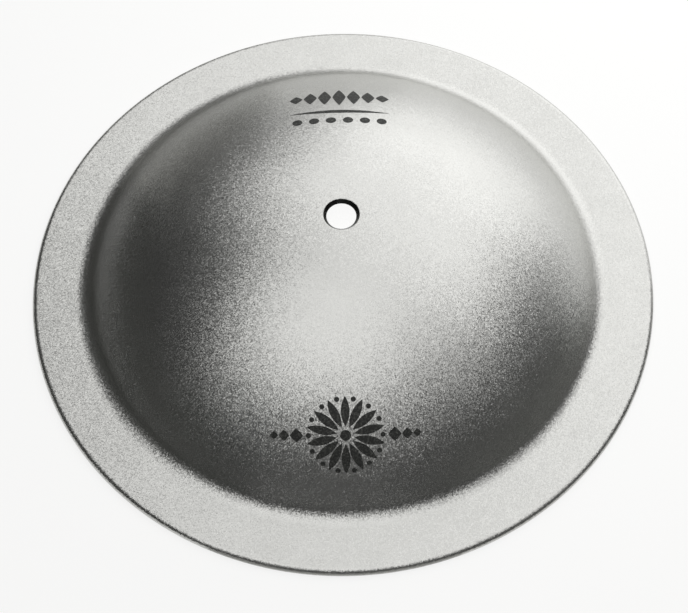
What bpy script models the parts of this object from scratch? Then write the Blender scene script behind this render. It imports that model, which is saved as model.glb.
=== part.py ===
"""Bell cymbal: one round plate of aluminium with a pressed bell, a flat rim and a centre hole.

Metres, +Z up. The origin is the centre of the rim's underside, so the disc stands on z = 0
with its bell upward. The disc is one piece of metal, turned here from its half section.
"""
import math

import bmesh
import bpy

# Driving dimensions of the real disc
DISC_DIAMETER = 0.280        # over the outer edge
RIM_WIDTH = 0.0200           # flat ring, from the root of the bell to the outer edge
BELL_HEIGHT = 0.060          # rim's underside to the bell's top skin, were the hole not there
PLATE = 0.0032               # thickness of the sheet, as it still is in the rim
CROWN_PLATE = 0.0021         # thickness at the crown, where the pressing has stretched it most
ROOT_RADIUS = 0.0100         # inside corner on the top, where the bell rises from the rim
RIM_TOP_ROUND = 0.0025       # soft upper outer edge
RIM_LOWER_BREAK = 0.0005     # lower outer edge, only deburred
HOLE_DIAMETER = 0.0127       # narrowest, at the underside; clears a stand's rod and sleeve
HOLE_FLARE = 0.0012          # how much wider the hole is at its top, on each side
HOLE_TOP_ROUND = 0.0005      # softened upper edge of the hole
HOLE_LOWER_BREAK = 0.0003    # lower edge of the hole, only deburred

# Fineness of the faceted surfaces
TURN_STEPS = 96              # facets round the axis
BELL_STEPS = 14              # along each skin of the bell, hole to root
ROOT_STEPS = 5               # along each skin of the root
RIM_ROUND_STEPS = 4          # along the soft outer edge
BREAK_STEPS = 2              # along each edge of the hole and the lower outer edge
SMOOTH_ANGLE = math.radians(35.0)

# Finish: bead-blasted aluminium, left bare
METAL_COLOUR = (0.60, 0.60, 0.59, 1.0)
METAL_ROUGHNESS = 0.42

# Angles in the section run from straight up towards the outer edge.
UP, OUT, DOWN, TURN = 0.0, math.pi / 2, math.pi, 2 * math.pi


def arc(centre, radius, start, end, steps):
    """Points (r, z) along an arc."""
    centre_r, centre_z = centre
    points = []
    for i in range(steps + 1):
        angle = start + (end - start) * i / steps
        points.append((centre_r + radius * math.sin(angle), centre_z + radius * math.cos(angle)))
    return points


def skin(root_r, base_z, top_z, corner):
    """One skin of the bell: an arc about a point on the axis that reaches top_z and is tangent
    to the root's arc, which is tangent in turn to the rim's face at base_z.

    Returns the arc's centre, its radius, and the angle at which it meets the root.
    """
    rise = top_z - base_z
    ball = (root_r ** 2 + rise ** 2) / (2 * rise) - corner
    return (0.0, top_z - ball), ball, 2 * math.atan(rise / root_r)


def edge_centre(r, skin_centre, reach):
    """Centre, at radius r from the axis, of an edge's arc that is tangent to a skin, and the
    angle at which the two meet."""
    return (r, skin_centre[1] + math.sqrt(reach ** 2 - r ** 2)), math.asin(r / reach)


def half_section():
    """Closed outline of the disc's half section, as (r, z) points."""
    edge_r = DISC_DIAMETER / 2
    root_r = edge_r - RIM_WIDTH
    hole_r = HOLE_DIAMETER / 2

    # Both skins of the root share a centre above the rim; the inner skin of the bell rises
    # nearer to the outer one, so that the sheet thins from the root to the crown.
    root_centre = (root_r, PLATE + ROOT_RADIUS)
    inner_corner = ROOT_RADIUS + PLATE
    top_centre, top_ball, top_root = skin(root_r, PLATE, BELL_HEIGHT, ROOT_RADIUS)
    inner_centre, inner_ball, inner_root = skin(
        root_r, 0.0, BELL_HEIGHT - CROWN_PLATE, inner_corner)

    # The hole's wall is a cone that opens upward, tangent to the arcs of both its edges.
    mouth_r = hole_r + HOLE_FLARE + HOLE_TOP_ROUND
    foot_r = hole_r + HOLE_LOWER_BREAK
    mouth, mouth_angle = edge_centre(mouth_r, top_centre, top_ball - HOLE_TOP_ROUND)
    foot, foot_angle = edge_centre(foot_r, inner_centre, inner_ball + HOLE_LOWER_BREAK)
    lean = math.atan2(mouth[0] - foot[0], mouth[1] - foot[1])
    unlike = math.acos((HOLE_TOP_ROUND - HOLE_LOWER_BREAK) / math.dist(mouth, foot))
    wall_angle = lean + unlike - DOWN

    rim_top_centre = (edge_r - RIM_TOP_ROUND, PLATE - RIM_TOP_ROUND)
    rim_low_centre = (edge_r - RIM_LOWER_BREAK, RIM_LOWER_BREAK)

    stretches = [
        # Over the top, from the hole to the outer edge.
        arc(mouth, HOLE_TOP_ROUND, wall_angle, mouth_angle, BREAK_STEPS),
        arc(top_centre, top_ball, mouth_angle, top_root, BELL_STEPS),
        arc(root_centre, ROOT_RADIUS, DOWN + top_root, DOWN, ROOT_STEPS),
        arc(rim_top_centre, RIM_TOP_ROUND, UP, OUT, RIM_ROUND_STEPS),
        # Back underneath, from the outer edge to the hole.
        arc(rim_low_centre, RIM_LOWER_BREAK, OUT, DOWN, BREAK_STEPS),
        arc(root_centre, inner_corner, DOWN, DOWN + inner_root, ROOT_STEPS),
        arc(inner_centre, inner_ball, inner_root, foot_angle, BELL_STEPS),
        arc(foot, HOLE_LOWER_BREAK, DOWN + foot_angle, TURN + wall_angle, BREAK_STEPS),
    ]

    # Where two tangent arcs meet, their shared point is kept once.
    same = 1e-7
    outline = []
    for point in [p for stretch in stretches for p in stretch]:
        if not outline or math.dist(point, outline[-1]) > same:
            outline.append(point)
    return outline


def turned_disc(name):
    """The half section turned once round the axis, as one closed solid."""
    bm = bmesh.new()
    ring = [bm.verts.new((r, 0.0, z)) for r, z in half_section()]
    for i, vert in enumerate(ring):
        bm.edges.new((vert, ring[(i + 1) % len(ring)]))
    bmesh.ops.spin(
        bm,
        geom=bm.verts[:] + bm.edges[:],
        cent=(0.0, 0.0, 0.0),
        axis=(0.0, 0.0, 1.0),
        angle=TURN,
        steps=TURN_STEPS,
        use_merge=True,
    )
    bmesh.ops.recalc_face_normals(bm, faces=bm.faces[:])

    mesh = bpy.data.meshes.new(name)
    bm.to_mesh(mesh)
    bm.free()
    mesh.shade_smooth()
    mesh.set_sharp_from_angle(angle=SMOOTH_ANGLE)

    disc = bpy.data.objects.new(name, mesh)
    bpy.context.scene.collection.objects.link(disc)
    return disc


def blasted_aluminium():
    """Bare aluminium with the even, fine matte that glass beads leave."""
    metal = bpy.data.materials.new("bead_blasted_aluminium")
    metal.use_nodes = True
    shader = metal.node_tree.nodes["Principled BSDF"]
    shader.inputs["Base Color"].default_value = METAL_COLOUR
    shader.inputs["Metallic"].default_value = 1.0
    shader.inputs["Roughness"].default_value = METAL_ROUGHNESS
    return metal


for old in list(bpy.data.objects):
    bpy.data.objects.remove(old, do_unlink=True)

bell_disc = turned_disc("bell_disc")
bell_disc.data.materials.append(blasted_aluminium())
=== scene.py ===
"""Looks of the bell cymbal: a blasted aluminium disc with two printed marks, on a pale table."""
import math

import bpy
from mathutils import Matrix, Vector


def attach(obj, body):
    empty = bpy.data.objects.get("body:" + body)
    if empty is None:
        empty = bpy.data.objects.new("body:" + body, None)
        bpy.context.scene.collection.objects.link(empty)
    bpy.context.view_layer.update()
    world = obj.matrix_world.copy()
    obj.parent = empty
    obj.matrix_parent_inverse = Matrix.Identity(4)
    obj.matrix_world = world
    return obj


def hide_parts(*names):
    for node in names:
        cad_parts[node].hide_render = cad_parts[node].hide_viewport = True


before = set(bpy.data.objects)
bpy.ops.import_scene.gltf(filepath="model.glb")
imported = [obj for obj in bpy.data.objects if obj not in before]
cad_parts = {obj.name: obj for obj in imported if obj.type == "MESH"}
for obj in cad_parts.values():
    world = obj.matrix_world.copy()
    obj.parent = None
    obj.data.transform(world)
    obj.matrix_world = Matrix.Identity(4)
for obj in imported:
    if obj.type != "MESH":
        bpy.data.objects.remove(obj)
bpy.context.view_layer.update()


# The disc: a round blank of 3.2 mm aluminium sheet with the bell pressed up out of it, which
# thins it to 2.1 mm at the crown. It is deburred and blasted with glass beads, and last the hole
# is opened out upward. Turned from its half section, finer than the solid that it stands for.

MM = 0.001
DISC_DIAMETER = 280.0 * MM
RIM_WIDTH = 20.0 * MM
BELL_HEIGHT = 60.0 * MM
PLATE = 3.2 * MM
CROWN_PLATE = 2.1 * MM
ROOT_RADIUS = 10.0 * MM
RIM_TOP_ROUND = 2.5 * MM
RIM_LOWER_BREAK = 0.5 * MM
HOLE_DIAMETER = 12.7 * MM
HOLE_FLARE = 1.2 * MM
HOLE_TOP_ROUND = 0.5 * MM
HOLE_LOWER_BREAK = 0.3 * MM

# Fineness: facets round the axis, and steps along each arc of the section. Points closer than
# TOUCHING are one point, and a flat gets two more, FLAT_MARGIN from its ends or less.
TURN_FACETS = 360
HOLE_EDGE_STEPS = 8
BELL_STEPS = 56
ROOT_STEPS = 18
RIM_ROUND_STEPS = 14
RIM_BREAK_STEPS = 6
TOUCHING = 0.001 * MM
FLAT_MARGIN = 0.25 * MM
LARGEST_MARGIN_SHARE = 0.4

edge_r = DISC_DIAMETER / 2
root_r = edge_r - RIM_WIDTH
hole_r = HOLE_DIAMETER / 2


def arc(centre, radius, start, end, steps):
    """Points (r, z) on an arc, both ends included; angles run from straight up, outwards."""
    return [
        (centre[0] + radius * math.sin(angle), centre[1] + radius * math.cos(angle))
        for angle in (start + (end - start) * i / steps for i in range(steps + 1))
    ]


def skin(base_z, top_z, corner):
    """One skin of the bell, an arc about a point on the axis that meets the root's arc: its
    centre, its radius and the angle at which it meets the root."""
    rise = top_z - base_z
    ball = (root_r ** 2 + rise ** 2) / (2 * rise) - corner
    return (0.0, top_z - ball), ball, 2 * math.atan(rise / root_r)


def edge_centre(r, skin_centre, reach):
    """Centre, at radius r, of an edge's arc that meets a skin, and the angle where it does."""
    return (r, skin_centre[1] + math.sqrt(reach ** 2 - r ** 2)), math.asin(r / reach)


def flat(start, end):
    """Two points on a straight stretch, close to its ends, that keep the shading of the
    corners beside it from washing over the flat."""
    share = min(FLAT_MARGIN / math.dist(start, end), LARGEST_MARGIN_SHARE)
    return [
        tuple(a + (b - a) * t for a, b in zip(start, end)) for t in (share, 1 - share)
    ]


bell_centre, bell_ball, bell_root = skin(PLATE, BELL_HEIGHT, ROOT_RADIUS)


def disc_section():
    """Closed outline of the half section, over the top and back underneath."""
    up, out, down, turn = 0.0, math.pi / 2, math.pi, math.tau
    inner_corner = ROOT_RADIUS + PLATE
    inner_centre, inner_ball, inner_root = skin(0.0, BELL_HEIGHT - CROWN_PLATE, inner_corner)
    root_centre = (root_r, PLATE + ROOT_RADIUS)
    mouth, mouth_angle = edge_centre(
        hole_r + HOLE_FLARE + HOLE_TOP_ROUND, bell_centre, bell_ball - HOLE_TOP_ROUND)
    foot, foot_angle = edge_centre(
        hole_r + HOLE_LOWER_BREAK, inner_centre, inner_ball + HOLE_LOWER_BREAK)
    lean = math.atan2(mouth[0] - foot[0], mouth[1] - foot[1])
    unlike = math.acos((HOLE_TOP_ROUND - HOLE_LOWER_BREAK) / math.dist(mouth, foot))
    wall_angle = lean + unlike - down
    rim_top_centre = (edge_r - RIM_TOP_ROUND, PLATE - RIM_TOP_ROUND)
    rim_low_centre = (edge_r - RIM_LOWER_BREAK, RIM_LOWER_BREAK)
    stretches = [
        arc(mouth, HOLE_TOP_ROUND, wall_angle, mouth_angle, HOLE_EDGE_STEPS),
        arc(bell_centre, bell_ball, mouth_angle, bell_root, BELL_STEPS),
        arc(root_centre, ROOT_RADIUS, down + bell_root, down, ROOT_STEPS),
        arc(rim_top_centre, RIM_TOP_ROUND, up, out, RIM_ROUND_STEPS),
        arc(rim_low_centre, RIM_LOWER_BREAK, out, down, RIM_BREAK_STEPS),
        arc(root_centre, inner_corner, down, down + inner_root, ROOT_STEPS),
        arc(inner_centre, inner_ball, inner_root, foot_angle, BELL_STEPS),
        arc(foot, HOLE_LOWER_BREAK, down + foot_angle, turn + wall_angle, HOLE_EDGE_STEPS),
    ]
    outline = []
    for i, stretch in enumerate(stretches):
        following = stretches[(i + 1) % len(stretches)]
        if outline and math.dist(outline[-1], stretch[0]) < TOUCHING:
            stretch = stretch[1:]
        outline += stretch
        if math.dist(stretch[-1], following[0]) > TOUCHING:
            outline += flat(stretch[-1], following[0])
    return outline


def add(tree, kind, settings=(), inputs=()):
    """Adds a node: its settings by name, and its inputs by name or place, each a value or the
    socket that feeds it."""
    node = tree.nodes.new(kind)
    for name, value in dict(settings).items():
        setattr(node, name, value)
    for key, value in dict(inputs).items():
        if isinstance(value, bpy.types.NodeSocket):
            tree.links.new(value, node.inputs[key])
        else:
            node.inputs[key].default_value = value
    return node


def turning_tree():
    """Turns a section about the axis. A grid with a column for each step round and a row for
    each point of the section is bent round, its seam is welded and its faces are turned out."""
    tree = bpy.data.node_groups.new("turn_section", "GeometryNodeTree")
    ports = tree.interface
    ports.new_socket("Section", in_out="INPUT", socket_type="NodeSocketGeometry")
    ports.new_socket("Section Points", in_out="INPUT", socket_type="NodeSocketInt")
    ports.new_socket("Facets Round", in_out="INPUT", socket_type="NodeSocketInt")
    ports.new_socket("Weld Distance", in_out="INPUT", socket_type="NodeSocketFloat")
    ports.new_socket("Cut Radius", in_out="INPUT", socket_type="NodeSocketFloat")
    ports.new_socket("Blasted Metal", in_out="INPUT", socket_type="NodeSocketMaterial")
    ports.new_socket("Cut Metal Painted Shade", in_out="INPUT", socket_type="NodeSocketMaterial")
    ports.new_socket("Disc", in_out="OUTPUT", socket_type="NodeSocketGeometry")
    given = add(tree, "NodeGroupInput").outputs

    columns = add(tree, "ShaderNodeMath", {"operation": "ADD"}, {0: given["Facets Round"], 1: 1})
    rows = add(tree, "ShaderNodeMath", {"operation": "ADD"}, {0: given["Section Points"], 1: 1})
    grid = add(tree, "GeometryNodeMeshGrid", {}, {
        "Vertices X": columns.outputs[0], "Vertices Y": rows.outputs[0]})

    # A grid's points run along each column in turn.
    index = add(tree, "GeometryNodeInputIndex").outputs[0]
    column = add(tree, "ShaderNodeMath", {"operation": "DIVIDE"}, {0: index, 1: rows.outputs[0]})
    column = add(tree, "ShaderNodeMath", {"operation": "FLOOR"}, {0: column.outputs[0]})
    row = add(tree, "ShaderNodeMath", {"operation": "MODULO"}, {0: index, 1: rows.outputs[0]})
    row = add(tree, "ShaderNodeMath", {"operation": "MODULO"}, {
        0: row.outputs[0], 1: given["Section Points"]})
    point = add(tree, "GeometryNodeSampleIndex", {"data_type": "FLOAT_VECTOR"}, {
        "Geometry": given["Section"],
        "Value": add(tree, "GeometryNodeInputPosition").outputs[0],
        "Index": row.outputs[0]})
    point = add(tree, "ShaderNodeSeparateXYZ", {}, {0: point.outputs[0]})

    step = add(tree, "ShaderNodeMath", {"operation": "DIVIDE"}, {
        0: math.tau, 1: given["Facets Round"]})
    angle = add(tree, "ShaderNodeMath", {"operation": "MULTIPLY"}, {
        0: column.outputs[0], 1: step.outputs[0]}).outputs[0]
    place = add(tree, "ShaderNodeVectorRotate", {"rotation_type": "Z_AXIS"}, {
        "Vector": add(tree, "ShaderNodeCombineXYZ", {}, {
            "X": point.outputs["X"], "Z": point.outputs["Z"]}).outputs[0],
        "Angle": angle})
    turned = add(tree, "GeometryNodeSetPosition", {}, {
        "Geometry": grid.outputs["Mesh"], "Position": place.outputs[0]})
    welded = add(tree, "GeometryNodeMergeByDistance", {}, {
        "Geometry": turned.outputs[0], "Distance": given["Weld Distance"]})
    outward = add(tree, "GeometryNodeFlipFaces", {}, {0: welded.outputs[0]})
    smooth = add(tree, "GeometryNodeSetShadeSmooth", {}, {"Geometry": outward.outputs[0]})
    whole = add(tree, "GeometryNodeRealizeInstances", {}, {"Geometry": smooth.outputs[0]})
    blasted = add(tree, "GeometryNodeSetMaterial", {}, {
        "Geometry": whole.outputs[0], "Material": given["Blasted Metal"]})

    # The hole's wall, inside the cut radius, has a finish of its own, coloured dark with painted
    # shade.
    from_axis = add(tree, "ShaderNodeVectorMath", {"operation": "MULTIPLY"}, {
        0: add(tree, "GeometryNodeInputPosition").outputs[0], 1: (1.0, 1.0, 0.0)})
    from_axis = add(tree, "ShaderNodeVectorMath", {"operation": "LENGTH"}, {
        0: from_axis.outputs[0]})
    in_hole = add(tree, "ShaderNodeMath", {"operation": "LESS_THAN"}, {
        0: from_axis.outputs["Value"], 1: given["Cut Radius"]})
    cut = add(tree, "GeometryNodeSetMaterial", {}, {
        "Geometry": blasted.outputs[0],
        "Selection": in_hole.outputs[0],
        "Material": given["Cut Metal Painted Shade"]})
    add(tree, "NodeGroupOutput", {}, {0: cut.outputs[0]})
    return tree


def made_by(tree, name, points, values, marks=()):
    """A plain mesh object: the tree run once on a set of points, which may carry numbers of
    their own, and its result kept."""
    source = bpy.data.meshes.new(name + "_source")
    source.from_pydata(points, [], [])
    for key, numbers in dict(marks).items():
        source.attributes.new(key, "FLOAT", "POINT").data.foreach_set("value", numbers)
    maker = bpy.data.objects.new(name + "_maker", source)
    bpy.context.scene.collection.objects.link(maker)
    modifier = maker.modifiers.new("make", "NODES")
    modifier.node_group = tree
    sockets = {s.name: s.identifier for s in tree.interface.items_tree if s.in_out == "INPUT"}
    for key, value in values.items():
        modifier[sockets[key]] = value
    bpy.context.view_layer.update()
    graph = bpy.context.evaluated_depsgraph_get()
    mesh = bpy.data.meshes.new_from_object(maker.evaluated_get(graph), depsgraph=graph)
    mesh.name = name
    maker.modifiers.remove(modifier)
    bpy.data.objects.remove(maker)
    piece = bpy.data.objects.new(name, mesh)
    bpy.context.scene.collection.objects.link(piece)
    return piece


def srgb(code):
    """Linear colour of an sRGB hex value such as "#C8C8C4"."""
    channels = [int(code[i:i + 2], 16) / 255 for i in (1, 3, 5)]
    return [c / 12.92 if c <= 0.04045 else ((c + 0.055) / 1.055) ** 2.4 for c in channels] + [1.0]


DENT_SIZE = 0.35 * MM
DENT_SLANT = 0.27
CLOUD_SIZE = 15.0 * MM
NICK_SPACING = 14.0 * MM
NICK_RADIUS = 0.4 * MM
NICK_THRESHOLD = 0.65


def blasted_aluminium():
    """Aluminium sheet blasted with glass beads: an even, silvery matte made of shallow
    overlapping dents, so that every dent mirrors the room a little differently."""
    metal = bpy.data.materials.new("blasted_aluminium")
    metal.use_nodes = True
    tree = metal.node_tree
    shader = tree.nodes["Principled BSDF"]
    shader.inputs["Metallic"].default_value = 1.0
    place = add(tree, "ShaderNodeTexCoord").outputs["Object"]

    # Dents: real ones are perhaps 0.1 to 0.2 mm across, drawn here at 0.35 mm so that they show.
    # Each is a cell with a slant of its own, and a little brighter or darker than the next.
    dents = add(tree, "ShaderNodeTexVoronoi", {}, {"Vector": place, "Scale": 1 / DENT_SIZE})
    slant = add(tree, "ShaderNodeVectorMath", {"operation": "SUBTRACT"}, {
        0: dents.outputs["Color"], 1: (0.5, 0.5, 0.5)})
    slant = add(tree, "ShaderNodeVectorMath", {"operation": "SCALE"}, {
        0: slant.outputs[0], "Scale": DENT_SLANT})
    slant = add(tree, "ShaderNodeVectorMath", {"operation": "ADD"}, {
        0: slant.outputs[0], 1: add(tree, "ShaderNodeNewGeometry").outputs["Normal"]})
    slant = add(tree, "ShaderNodeVectorMath", {"operation": "NORMALIZE"}, {0: slant.outputs[0]})
    tree.links.new(slant.outputs[0], shader.inputs["Normal"])
    speckle = add(tree, "ShaderNodeMapRange", {}, {
        "Value": dents.outputs["Color"], "To Min": 0.90, "To Max": 1.10})

    # Clouds: the blast falls a little unevenly, over patches of about 15 mm.
    clouds = add(tree, "ShaderNodeTexNoise", {}, {
        "Vector": place, "Scale": 1 / CLOUD_SIZE, "Detail": 3.0})
    tone = add(tree, "ShaderNodeMix", {"data_type": "RGBA"}, {
        "Factor": clouds.outputs[0], "A": srgb("#BEBEBB"), "B": srgb("#C8C8C5")})
    tone = add(tree, "ShaderNodeVectorMath", {"operation": "SCALE"}, {
        0: tone.outputs["Result"], "Scale": speckle.outputs[0]})

    # Nicks: bright spots up to 0.8 mm across where handling has rubbed the metal. A cell's middle
    # seldom lies that close to the surface, so there are only a few.
    patches = add(tree, "ShaderNodeTexVoronoi", {}, {"Vector": place, "Scale": 1 / NICK_SPACING})
    chosen = add(tree, "ShaderNodeMath", {"operation": "GREATER_THAN"}, {
        0: patches.outputs["Color"], 1: NICK_THRESHOLD})
    nicks = add(tree, "ShaderNodeMapRange", {"interpolation_type": "SMOOTHSTEP"}, {
        "Value": patches.outputs["Distance"],
        "From Max": NICK_RADIUS / NICK_SPACING,
        "To Min": 0.7,
        "To Max": 0.0})
    nicks = add(tree, "ShaderNodeMath", {"operation": "MULTIPLY"}, {
        0: nicks.outputs[0], 1: chosen.outputs[0]})
    tone = add(tree, "ShaderNodeMix", {"data_type": "RGBA"}, {
        "Factor": nicks.outputs[0], "A": tone.outputs[0], "B": srgb("#F0F0EE")})
    tree.links.new(tone.outputs["Result"], shader.inputs["Base Color"])
    gloss = add(tree, "ShaderNodeMapRange", {}, {
        "Value": clouds.outputs[0], "To Min": 0.30, "To Max": 0.34})
    tree.links.new(gloss.outputs[0], shader.inputs["Roughness"])
    return metal


CUTTER_RING = 0.3 * MM
CUTTER_DEPTH = 0.01 * MM
CUT_MARGIN = 0.1 * MM


def cut_aluminium_painted_shade():
    """The same sheet where a cutter has opened the hole after the blasting: smoother and with fine
    rings. Its dark grey colour is painted shade, as dark as the wall looks from above."""
    metal = bpy.data.materials.new("cut_aluminium_painted_shade")
    metal.use_nodes = True
    tree = metal.node_tree
    shader = tree.nodes["Principled BSDF"]
    shader.inputs["Metallic"].default_value = 1.0
    # Painted shade: the wall is coloured dark grey, as dark as it looks from above, not as bare cut
    # metal is.
    shader.inputs["Base Color"].default_value = srgb("#4C4D4A")

    # Rings left by the cutter: real ones are perhaps 0.05 mm apart, drawn here every 0.3 mm so
    # that they show.
    place = add(tree, "ShaderNodeSeparateXYZ", {}, {
        0: add(tree, "ShaderNodeTexCoord").outputs["Object"]})
    rings = add(tree, "ShaderNodeTexNoise", {"noise_dimensions": "1D"}, {
        "W": place.outputs["Z"], "Scale": 1 / CUTTER_RING, "Detail": 1.0})
    bump = add(tree, "ShaderNodeBump", {}, {
        "Strength": 1.0, "Distance": CUTTER_DEPTH, "Height": rings.outputs[0]})
    tree.links.new(bump.outputs[0], shader.inputs["Normal"])
    gloss = add(tree, "ShaderNodeMapRange", {}, {
        "Value": rings.outputs[0], "To Min": 0.16, "To Max": 0.24})
    tree.links.new(gloss.outputs[0], shader.inputs["Roughness"])
    return metal


section = disc_section()
bell_disc = made_by(turning_tree(), "blasted_disc", [(r, 0.0, z) for r, z in section], {
    "Section Points": len(section),
    "Facets Round": TURN_FACETS,
    "Weld Distance": TOUCHING,
    "Cut Radius": hole_r + HOLE_FLARE + CUT_MARGIN,
    "Blasted Metal": blasted_aluminium(),
    "Cut Metal Painted Shade": cut_aluminium_painted_shade(),
})
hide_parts("bell_disc")
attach(bell_disc, "root")


# The printed marks: two plain ornaments in dark matt ink, screened on the bell after the
# blasting. On the far side is a row of lozenges over a rule and dots, and on the near side a
# rosette between lozenges. Each is a film of ink, drawn 0.05 mm thick, that follows the bell.

INK_FILM = 0.05 * MM
INK_SUNK = 0.03 * MM
MOTIF_FACETS = 28
MOTIF_RINGS = 6

# The shapes of motifs: the powers that draw out their ends and their sides.
DOT = (1.0, 1.0)
LOZENGE = (1.7, 1.7)
LEAF = (1.0, 2.0)

# How far from the crown, along the bell towards the viewer, the middle of each mark lies.
FAR_MARK_REACH = -69.0 * MM
NEAR_MARK_REACH = 96.0 * MM

LOZENGE_SHARES = (0.45, 0.70, 0.88, 1.00, 0.88, 0.70, 0.45)
LOZENGE_ROW = 10.5 * MM
LOZENGE_PITCH = 6.6 * MM
LOZENGE_LENGTH = 17.0 * MM
LOZENGE_WIDTH = 6.0 * MM
RULE_ROW = -4.0 * MM
RULE_LENGTH = 45.0 * MM
RULE_WIDTH = 2.6 * MM
DOTS = 6
DOT_ROW = -11.5 * MM
DOT_PITCH = 7.6 * MM
DOT_SIZE = 4.6 * MM

PETALS = 14
PETAL_REACH = 10.2 * MM
PETAL_LENGTH = 13.0 * MM
PETAL_WIDTH = 3.7 * MM
BEAD_REACH = 15.6 * MM
BEAD_SIZE = 2.2 * MM
SIDE_LOZENGES = (
    # place beside the rosette's middle, length and width
    (20.7 * MM, 5.6 * MM, 6.0 * MM),
    (26.1 * MM, 4.6 * MM, 4.8 * MM),
    (30.5 * MM, 3.6 * MM, 3.6 * MM),
)

# A motif is its place on the flat artwork (x, y), its turn in degrees, its length, its width
# and its shape.
far_mark = []
for i, share in enumerate(LOZENGE_SHARES):
    x = (i - (len(LOZENGE_SHARES) - 1) / 2) * LOZENGE_PITCH
    far_mark.append((x, LOZENGE_ROW, 90.0, LOZENGE_LENGTH * share, LOZENGE_WIDTH, LOZENGE))
far_mark.append((0.0, RULE_ROW, 0.0, RULE_LENGTH, RULE_WIDTH, LEAF))
for i in range(DOTS):
    far_mark.append(((i - (DOTS - 1) / 2) * DOT_PITCH, DOT_ROW, 0.0, DOT_SIZE, DOT_SIZE, DOT))

near_mark = [(0.0, 0.0, 0.0, DOT_SIZE, DOT_SIZE, DOT)]
for i in range(PETALS):
    turn = 360.0 * (i + 0.5) / PETALS
    petal_turn = math.radians(turn)
    petal = Vector((math.cos(petal_turn), math.sin(petal_turn))) * PETAL_REACH
    near_mark.append((petal.x, petal.y, turn, PETAL_LENGTH, PETAL_WIDTH, LEAF))
    bead_turn = math.radians(turn + 180.0 / PETALS)
    bead = Vector((math.cos(bead_turn), math.sin(bead_turn))) * BEAD_REACH
    near_mark.append((bead.x, bead.y, 0.0, BEAD_SIZE, BEAD_SIZE, DOT))
for side in (-1, 1):
    for x, length, width in SIDE_LOZENGES:
        near_mark.append((side * x, 0.0, 0.0, length, width, LOZENGE))


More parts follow.
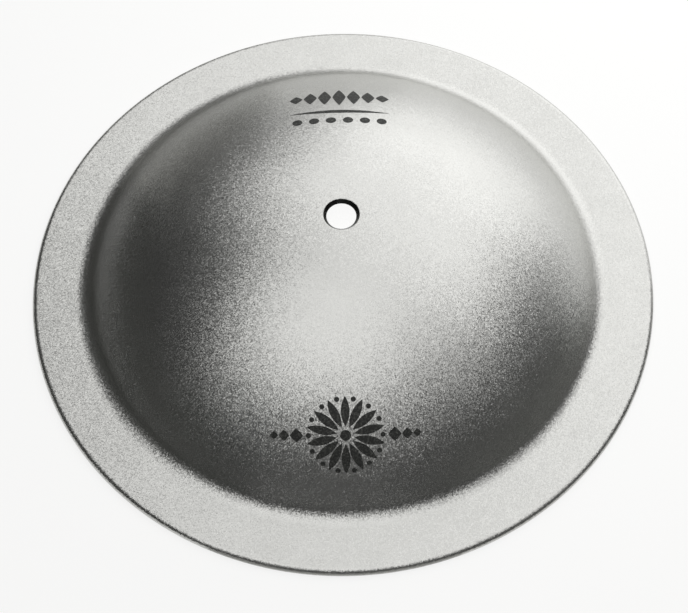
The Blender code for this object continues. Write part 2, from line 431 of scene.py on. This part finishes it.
def printing_tree():
    """Prints motifs on the bell. Each place on the flat artwork gets a disc of rings, drawn out
    to the motif's own shape, the sheet gets the thickness of the ink, and the whole is laid on
    the ball that the bell is part of, leaned over from its crown."""
    tree = bpy.data.node_groups.new("print_on_bell", "GeometryNodeTree")
    ports = tree.interface
    ports.new_socket("Places", in_out="INPUT", socket_type="NodeSocketGeometry")
    ports.new_socket("Facets", in_out="INPUT", socket_type="NodeSocketInt")
    ports.new_socket("Rings", in_out="INPUT", socket_type="NodeSocketInt")
    ports.new_socket("Weld Distance", in_out="INPUT", socket_type="NodeSocketFloat")
    ports.new_socket("Ink Film", in_out="INPUT", socket_type="NodeSocketFloat")
    ports.new_socket("Ink Sunk", in_out="INPUT", socket_type="NodeSocketFloat")
    ports.new_socket("Ball Radius", in_out="INPUT", socket_type="NodeSocketFloat")
    ports.new_socket("Ball Centre", in_out="INPUT", socket_type="NodeSocketVector")
    ports.new_socket("Lean", in_out="INPUT", socket_type="NodeSocketFloat")
    ports.new_socket("Ink", in_out="INPUT", socket_type="NodeSocketMaterial")
    ports.new_socket("Print", in_out="OUTPUT", socket_type="NodeSocketGeometry")
    given = add(tree, "NodeGroupInput").outputs

    # One disc of rings, as a grid: across it the angle, up it the share of the way out.
    position = add(tree, "GeometryNodeInputPosition").outputs[0]
    at = add(tree, "ShaderNodeSeparateXYZ", {}, {0: position}).outputs
    columns = add(tree, "ShaderNodeMath", {"operation": "ADD"}, {0: given["Facets"], 1: 1})
    rows = add(tree, "ShaderNodeMath", {"operation": "ADD"}, {0: given["Rings"], 1: 1})
    disc = add(tree, "GeometryNodeMeshGrid", {}, {
        "Size X": 1.0,
        "Size Y": 1.0,
        "Vertices X": columns.outputs[0],
        "Vertices Y": rows.outputs[0]})
    across = add(tree, "ShaderNodeMath", {"operation": "ADD"}, {0: at["X"], 1: 0.5})
    angle = add(tree, "ShaderNodeMath", {"operation": "MULTIPLY"}, {
        0: across.outputs[0], 1: math.tau})
    way_out = add(tree, "ShaderNodeMath", {"operation": "ADD"}, {0: at["Y"], 1: 0.5})
    for name, value in (("angle", angle), ("way_out", way_out)):
        disc = add(tree, "GeometryNodeStoreNamedAttribute", {"data_type": "FLOAT"}, {
            "Geometry": disc.outputs[0], "Name": name, "Value": value.outputs[0]})
    places = add(tree, "GeometryNodeStoreNamedAttribute", {"data_type": "FLOAT_VECTOR"}, {
        "Geometry": given["Places"], "Name": "place", "Value": position})
    copies = add(tree, "GeometryNodeInstanceOnPoints", {}, {
        "Points": places.outputs[0], "Instance": disc.outputs[0]})
    discs = add(tree, "GeometryNodeRealizeInstances", {}, {"Geometry": copies.outputs[0]})

    # What every point now carries: its angle and way out, and its motif's measures and place.
    carried = {}
    for name in ("angle", "way_out", "turn", "half_length", "half_width", "end_power", "side_power"):
        carried[name] = add(tree, "GeometryNodeInputNamedAttribute", {"data_type": "FLOAT"}, {
            "Name": name}).outputs["Attribute"]
    place = add(tree, "GeometryNodeInputNamedAttribute", {"data_type": "FLOAT_VECTOR"}, {
        "Name": "place"}).outputs["Attribute"]

    # Each disc drawn out to its motif, turned and put in its place.
    drawn = []
    for function, size, power in (
            ("COSINE", "half_length", "end_power"), ("SINE", "half_width", "side_power")):
        wave = add(tree, "ShaderNodeMath", {"operation": function}, {0: carried["angle"]})
        side = add(tree, "ShaderNodeMath", {"operation": "SIGN"}, {0: wave.outputs[0]})
        shaped = add(tree, "ShaderNodeMath", {"operation": "ABSOLUTE"}, {0: wave.outputs[0]})
        shaped = add(tree, "ShaderNodeMath", {"operation": "POWER"}, {
            0: shaped.outputs[0], 1: carried[power]})
        for factor in (side.outputs[0], carried["way_out"], carried[size]):
            shaped = add(tree, "ShaderNodeMath", {"operation": "MULTIPLY"}, {
                0: shaped.outputs[0], 1: factor})
        drawn.append(shaped.outputs[0])
    turned = add(tree, "ShaderNodeVectorRotate", {"rotation_type": "Z_AXIS"}, {
        "Vector": add(tree, "ShaderNodeCombineXYZ", {}, {0: drawn[0], 1: drawn[1]}).outputs[0],
        "Angle": carried["turn"]})
    placed = add(tree, "ShaderNodeVectorMath", {"operation": "ADD"}, {
        0: turned.outputs[0], 1: place})
    sheet = add(tree, "GeometryNodeSetPosition", {}, {
        "Geometry": discs.outputs[0], "Position": placed.outputs[0]})
    sheet = add(tree, "GeometryNodeMergeByDistance", {}, {
        "Geometry": sheet.outputs[0], "Distance": given["Weld Distance"]})

    # The sheet as drawn faces down and is the underside; a copy turned over is raised from it.
    over = add(tree, "GeometryNodeFlipFaces", {}, {0: sheet.outputs[0]})
    thickness = add(tree, "ShaderNodeMath", {"operation": "ADD"}, {
        0: given["Ink Film"], 1: given["Ink Sunk"]})
    raised = add(tree, "GeometryNodeExtrudeMesh", {"mode": "FACES"}, {
        "Mesh": over.outputs[0],
        "Offset": (0.0, 0.0, 1.0),
        "Offset Scale": thickness.outputs[0],
        "Individual": False})
    film = add(tree, "GeometryNodeJoinGeometry")
    tree.links.new(sheet.outputs[0], film.inputs[0])
    tree.links.new(raised.outputs["Mesh"], film.inputs[0])
    film = add(tree, "GeometryNodeMergeByDistance", {}, {
        "Geometry": film.outputs[0], "Distance": given["Weld Distance"]})

    # Laid on the ball: pressed down to it along its radii, and leaned over with it.
    towards = add(tree, "ShaderNodeCombineXYZ", {}, {
        0: at["X"], 1: at["Y"], 2: given["Ball Radius"]})
    towards = add(tree, "ShaderNodeVectorMath", {"operation": "NORMALIZE"}, {
        0: towards.outputs[0]})
    foot = add(tree, "ShaderNodeMath", {"operation": "SUBTRACT"}, {
        0: given["Ball Radius"], 1: given["Ink Sunk"]})
    reach = add(tree, "ShaderNodeMath", {"operation": "ADD"}, {0: foot.outputs[0], 1: at["Z"]})
    laid = add(tree, "ShaderNodeVectorMath", {"operation": "SCALE"}, {
        0: towards.outputs[0], "Scale": reach.outputs[0]})
    leaned = add(tree, "ShaderNodeVectorRotate", {"rotation_type": "X_AXIS"}, {
        "Vector": laid.outputs[0], "Angle": given["Lean"]})
    moved = add(tree, "ShaderNodeVectorMath", {"operation": "ADD"}, {
        0: leaned.outputs[0], 1: given["Ball Centre"]})
    pressed = add(tree, "GeometryNodeSetPosition", {}, {
        "Geometry": film.outputs[0], "Position": moved.outputs[0]})
    whole = add(tree, "GeometryNodeRealizeInstances", {}, {"Geometry": pressed.outputs[0]})
    inked = add(tree, "GeometryNodeSetMaterial", {}, {
        "Geometry": whole.outputs[0], "Material": given["Ink"]})
    add(tree, "NodeGroupOutput", {}, {0: inked.outputs[0]})
    return tree


INK_RELIEF_SIZE = 0.7 * MM
INK_RELIEF_DEPTH = 0.10 * MM
WEAR_SIZE = 0.9 * MM


def matt_ink():
    """Dark grey two-part screen ink: matt, a little uneven over the dents below it, and worn
    paler in patches."""
    ink = bpy.data.materials.new("matt_screen_ink")
    ink.use_nodes = True
    tree = ink.node_tree
    shader = tree.nodes["Principled BSDF"]
    shader.inputs["Roughness"].default_value = 0.62
    shader.inputs["Specular IOR Level"].default_value = 0.35
    place = add(tree, "ShaderNodeTexCoord").outputs["Object"]

    # Relief: the dents under the thin film, drawn 0.7 mm apart so that they show.
    dents = add(tree, "ShaderNodeTexNoise", {}, {
        "Vector": place, "Scale": 1 / INK_RELIEF_SIZE, "Detail": 1.0, "Roughness": 0.6})
    bump = add(tree, "ShaderNodeBump", {}, {
        "Strength": 1.0, "Distance": INK_RELIEF_DEPTH, "Height": dents.outputs[0]})
    tree.links.new(bump.outputs[0], shader.inputs["Normal"])

    # Wear: patches about 1 mm across where the ink has rubbed thin.
    wear = add(tree, "ShaderNodeTexNoise", {}, {
        "Vector": place, "Scale": 1 / WEAR_SIZE, "Detail": 2.0, "Roughness": 0.7})
    worn = add(tree, "ShaderNodeMapRange", {"interpolation_type": "SMOOTHSTEP"}, {
        "Value": wear.outputs[0], "From Min": 0.42, "From Max": 0.80})
    tone = add(tree, "ShaderNodeMix", {"data_type": "RGBA"}, {
        "Factor": worn.outputs[0], "A": srgb("#222321"), "B": srgb("#565753")})
    tree.links.new(tone.outputs["Result"], shader.inputs["Base Color"])
    return ink


print_tree = printing_tree()
ink = matt_ink()
for name, reach, motifs in (
        ("far_mark", FAR_MARK_REACH, far_mark), ("near_mark", NEAR_MARK_REACH, near_mark)):
    mark = made_by(print_tree, name, [(x, y, 0.0) for x, y, *rest in motifs], {
        "Facets": MOTIF_FACETS,
        "Rings": MOTIF_RINGS,
        "Weld Distance": TOUCHING,
        "Ink Film": INK_FILM,
        "Ink Sunk": INK_SUNK,
        "Ball Radius": bell_ball,
        "Ball Centre": (0.0, 0.0, bell_centre[1]),
        "Lean": reach / bell_ball,
        "Ink": ink,
    }, {
        "turn": [math.radians(turn) for x, y, turn, length, width, shape in motifs],
        "half_length": [length / 2 for x, y, turn, length, width, shape in motifs],
        "half_width": [width / 2 for x, y, turn, length, width, shape in motifs],
        "end_power": [shape[0] for x, y, turn, length, width, shape in motifs],
        "side_power": [shape[1] for x, y, turn, length, width, shape in motifs],
    })
    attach(mark, "root")


# The table: a plain painted board that the disc lies on, wide enough to fill the view from
# above on any side. Its top lies a hair below the disc's underside.

TABLE_COLOUR = srgb("#868684")
TABLE_HALF = 3.0
TABLE_DROP = 0.1 * MM
TABLE_GLOW = 0.757
table_mesh = bpy.data.meshes.new("table")
table_mesh.from_pydata(
    [(x * TABLE_HALF, y * TABLE_HALF, -TABLE_DROP) for x, y in ((-1, -1), (1, -1), (1, 1), (-1, 1))],
    [], [(0, 1, 2, 3)],
)
table_paint = bpy.data.materials.new("matt_table_paint")
table_paint.use_nodes = True
paint_tree = table_paint.node_tree
table_shader = paint_tree.nodes["Principled BSDF"]
table_shader.inputs["Base Color"].default_value = TABLE_COLOUR
table_shader.inputs["Roughness"].default_value = 0.9
table_shader.inputs["Specular IOR Level"].default_value = 0.1

# Seen by the camera, mirrored or through glass, the table also glows. This takes it near white
# without stronger lamps, and its grey paint still holds the disc's shadow.
ray = add(paint_tree, "ShaderNodeLightPath").outputs
seen = 0.0
for kind in ("Is Camera Ray", "Is Glossy Ray", "Is Transmission Ray"):
    seen = add(paint_tree, "ShaderNodeMath", {"operation": "ADD"}, {
        0: seen, 1: ray[kind]}).outputs[0]
glow = add(paint_tree, "ShaderNodeMath", {"operation": "MULTIPLY"}, {0: seen, 1: TABLE_GLOW})
table_shader.inputs["Emission Color"].default_value = srgb("#FFFFFF")
paint_tree.links.new(glow.outputs[0], table_shader.inputs["Emission Strength"])
table_mesh.materials.append(table_paint)
table = bpy.data.objects.new("table", table_mesh)
bpy.context.scene.collection.objects.link(table)


# The light: large soft lamps round the table, the brightest behind and to the right, and paper
# cards that lie and stand round the disc for its metal to mirror. The camera sees neither.

LAMPS = {
    # name: (place in metres, width and height in metres where it is half as bright, brightness)
    "tall_box_back_right": ((0.240, 0.421, 0.147), (0.720, 0.290), 1.66),
    "leaning_box_back_right": ((0.138, 0.289, 0.428), (1.068, 0.405), 1.40),
    "wide_box_overhead": ((-0.046, -0.142, 0.498), (0.662, 0.606), 1.29),
    "dim_box_right": ((0.460, -0.125, 0.470), (0.480, 0.300), 0.62),
}
EDGE_FADE = 0.35

# A lamp fades to nothing over this share of its width and height at each edge, so it is made
# larger than where it is half as bright.
for name, (place, (width, height), brightness) in LAMPS.items():
    lamp = bpy.data.lights.new(name, "AREA")
    lamp.shape = "RECTANGLE"
    lamp.size = width / (1 - EDGE_FADE)
    lamp.size_y = height / (1 - EDGE_FADE)
    lamp.energy = brightness * math.pi * lamp.size * lamp.size_y
    lamp.use_nodes = True
    lamp_tree = lamp.node_tree
    across = add(lamp_tree, "ShaderNodeSeparateXYZ", {}, {
        0: add(lamp_tree, "ShaderNodeNewGeometry").outputs["Parametric"]})
    strength = 1.0
    for way in ("X", "Y"):
        far_side = add(lamp_tree, "ShaderNodeMath", {"operation": "SUBTRACT"}, {
            0: 1.0, 1: across.outputs[way]})
        inside = add(lamp_tree, "ShaderNodeMath", {"operation": "MINIMUM"}, {
            0: across.outputs[way], 1: far_side.outputs[0]})
        faded = add(lamp_tree, "ShaderNodeMapRange", {"interpolation_type": "SMOOTHSTEP"}, {
            "Value": inside.outputs[0], "From Max": EDGE_FADE})
        strength = add(lamp_tree, "ShaderNodeMath", {"operation": "MULTIPLY"}, {
            0: strength, 1: faded.outputs[0]}).outputs[0]
    lamp_tree.links.new(strength, lamp_tree.nodes["Emission"].inputs["Strength"])
    fitting = bpy.data.objects.new(name, lamp)
    fitting.location = place
    fitting.rotation_euler = (-Vector(place)).to_track_quat("-Z", "Y").to_euler()
    fitting.visible_camera = False
    bpy.context.scene.collection.objects.link(fitting)

# A small lamp below the crown lights the table there, which shows pale through the hole.
UNDER_SIZE = 0.080
UNDER_HEIGHT = 0.045
UNDER_BRIGHTNESS = 1.8
under = bpy.data.lights.new("lamp_under_bell", "AREA")
under.shape = "DISK"
under.size = UNDER_SIZE
under.energy = UNDER_BRIGHTNESS * math.pi * math.pi * (UNDER_SIZE / 2) ** 2
under_fitting = bpy.data.objects.new("lamp_under_bell", under)
under_fitting.location = (0.0, 0.0, UNDER_HEIGHT)
under_fitting.visible_camera = False
bpy.context.scene.collection.objects.link(under_fitting)

CARDS = {
    # name: (first and last direction in degrees, where it starts and where it turns up in
    # metres from the axis, height, colour)
    "pale_card_back": (75, 105, 0.150, 0.300, 0.060, srgb("#EEEEEC")),
    "grey_card_back_left": (105, 150, 0.150, 0.300, 0.060, srgb("#A6A6A3")),
    "black_card_left": (145, 245, 0.160, 0.165, 0.055, srgb("#50514F")),
    "grey_card_front": (245, 290, 0.141, 0.300, 0.001, srgb("#CCCCCA")),
    "dark_card_right": (290, 360, 0.145, 0.300, 0.060, srgb("#7E7F7C")),
}
CARD_STEP = 5
CARD_SLANT = 25

# Each card has three points in every direction: where it starts, where it turns up and its top.
# Over the last 20 degrees at both ends the top comes down to a fifth of the card's height.
for name, (first, last, start, bend, height, colour) in CARDS.items():
    rows = []
    for degrees in range(first, last + 1, CARD_STEP):
        x, y = math.cos(math.radians(degrees)), math.sin(math.radians(degrees))
        share = min(1.0, (min(degrees - first, last - degrees) + CARD_STEP) / CARD_SLANT)
        rows += [(x * start, y * start, 0.0), (x * bend, y * bend, 0.0),
                 (x * bend, y * bend, height * share)]
    card_mesh = bpy.data.meshes.new(name)
    card_mesh.from_pydata(
        rows, [], [(i, i + 1, i + 4, i + 3) for i in range(len(rows) - 3) if i % 3 < 2])
    card_paper = bpy.data.materials.new(name)
    card_paper.use_nodes = True
    card_shader = card_paper.node_tree.nodes["Principled BSDF"]
    card_shader.inputs["Base Color"].default_value = colour
    card_shader.inputs["Roughness"].default_value = 0.95
    card_shader.inputs["Specular IOR Level"].default_value = 0.1
    card_mesh.materials.append(card_paper)
    card = bpy.data.objects.new(name, card_mesh)
    card.visible_camera = False
    card.visible_diffuse = False
    card.visible_shadow = False
    bpy.context.scene.collection.objects.link(card)

ROOM_BRIGHTNESS = 0.04
room = bpy.data.worlds.new("room")
room.use_nodes = True
room.node_tree.nodes["Background"].inputs["Color"].default_value = srgb("#FFFFFF")
room.node_tree.nodes["Background"].inputs["Strength"].default_value = ROOM_BRIGHTNESS
bpy.context.scene.world = room


# The camera: above and in front of the disc, a little over 0.8 m away, as the photograph was
# taken. The width and the focal length are in pixels of the photograph.

CAMERA_DISTANCE = 0.8156
CAMERA_RISE = math.radians(60.33)
CAMERA_TILT = math.radians(-1.07)
AIM = Vector((0.0004, -0.0118, 0.0))
PHOTO_WIDTH = 688
FOCAL_LENGTH = 1800

camera_data = bpy.data.cameras.new("camera")
camera_data.sensor_width = 36.0
camera_data.lens = camera_data.sensor_width * FOCAL_LENGTH / PHOTO_WIDTH
camera_data.clip_start = 0.01
camera = bpy.data.objects.new("camera", camera_data)
camera_place = CAMERA_DISTANCE * Vector((0.0, -math.cos(CAMERA_RISE), math.sin(CAMERA_RISE)))
look = (AIM - camera_place).to_track_quat("-Z", "Y").to_matrix().to_4x4()
camera.matrix_world = Matrix.Translation(camera_place) @ look @ Matrix.Rotation(CAMERA_TILT, 4, "Z")
bpy.context.scene.collection.objects.link(camera)
bpy.context.scene.camera = camera
bpy.context.scene.view_settings.view_transform = "Standard"
